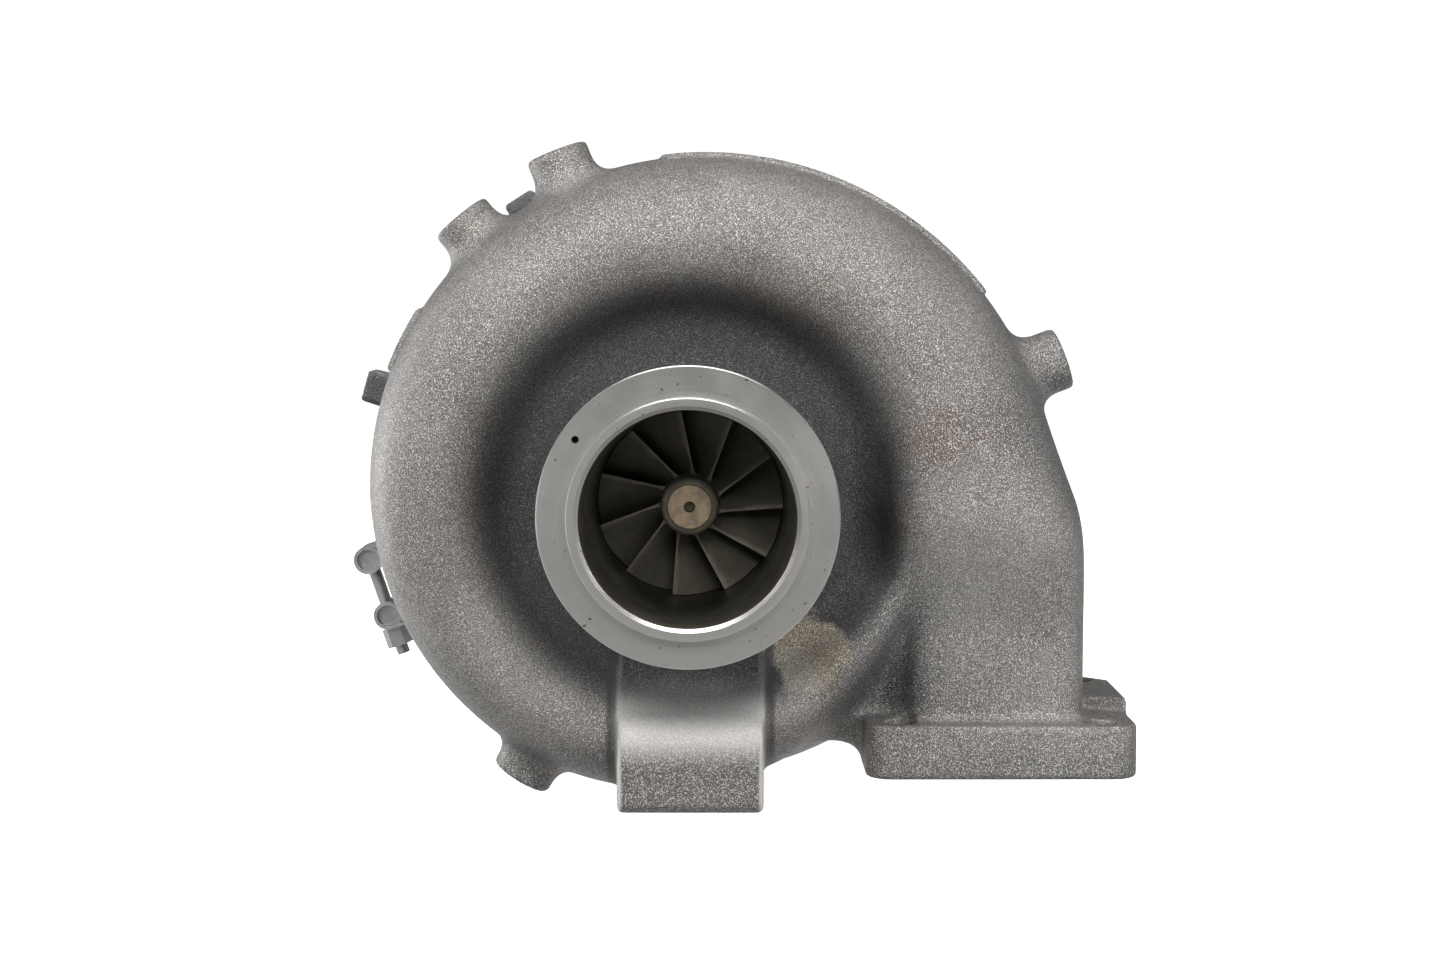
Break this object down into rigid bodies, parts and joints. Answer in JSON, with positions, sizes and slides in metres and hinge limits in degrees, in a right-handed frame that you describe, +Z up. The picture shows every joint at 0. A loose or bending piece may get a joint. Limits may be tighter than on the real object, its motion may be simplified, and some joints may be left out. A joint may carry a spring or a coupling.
{
  "type": "turbocharger",
  "caption": "Exhaust turbocharger: cast twin-entry turbine housing with a square inlet flange and clamped outlet, bearing housing, compressor cover and a rotor that spins inside.",
  "frame": {"origin": "on the shaft axis, in the front face of the pilot ring at the turbine outlet", "axes": "+Y along the shaft from the turbine outlet to the compressor inlet, +Z up, away from the turbine inlet flange"},
  "size_m": [0.3503, 0.3, 0.2936],
  "materials": {
    "cast_iron": "sand-cast grey iron, slightly oily, faint brown stains",
    "hot_alloy": "investment-cast nickel alloy, dull olive brown",
    "ground_steel": "ground",
    "stamped_steel": "rolled stainless strip",
    "fastener_steel": "plated, satin",
    "bronze": "machined bearing bronze",
    "aluminium": "cast and machined aluminium",
    "seal_rubber": "matt"
  },
  "bodies": {
    "core": {"turbine_housing": "cast_iron", "heat_shield": "stamped_steel", "turbine_seal_ring": "ground_steel", "bearing_housing": "cast_iron", "locating_dowel": "ground_steel", "bush_retaining_rings": "stamped_steel", "thrust_bearing": "bronze", "thrust_bearing_screws": "fastener_steel", "oil_seal_plate": "aluminium", "seal_plate_o_ring": "seal_rubber", "seal_plate_snap_ring": "stamped_steel", "compressor_seal_ring": "ground_steel", "compressor_backplate": "aluminium", "backplate_o_ring": "seal_rubber", "backplate_screws": "fastener_steel", "compressor_housing": "aluminium", "cover_o_ring": "seal_rubber", "turbine_clamp_strap": "stamped_steel", "turbine_clamp_segments": "stamped_steel", "turbine_clamp_bolt": "fastener_steel", "turbine_clamp_trunnion": "fastener_steel", "turbine_clamp_nut": "fastener_steel", "compressor_clamp_strap": "stamped_steel", "compressor_clamp_segments": "stamped_steel", "compressor_clamp_bolt": "fastener_steel", "compressor_clamp_trunnion": "fastener_steel", "compressor_clamp_nut": "fastener_steel"},
    "rotor": {"turbine_wheel": "hot_alloy", "rotor_shaft": "ground_steel", "thrust_collar": "ground_steel", "oil_flinger": "ground_steel", "compressor_wheel": "aluminium", "compressor_locknut": "fastener_steel"},
    "turbine_bush": {"turbine_end_bush": "bronze"},
    "compressor_bush": {"compressor_end_bush": "bronze"}
  },
  "joints": [
    {"name": "rotor_spin", "type": "hinge", "parent": "core", "child": "rotor", "pos_m": [0, 0, 0], "axis": [0, -1, 0], "continuous": true},
    {"name": "turbine_bush_spin", "type": "hinge", "parent": "core", "child": "turbine_bush", "pos_m": [0, 0.1432, 0], "axis": [0, -1, 0], "continuous": true},
    {"name": "compressor_bush_spin", "type": "hinge", "parent": "core", "child": "compressor_bush", "pos_m": [0, 0.17475, 0], "axis": [0, -1, 0], "continuous": true}
  ]
}
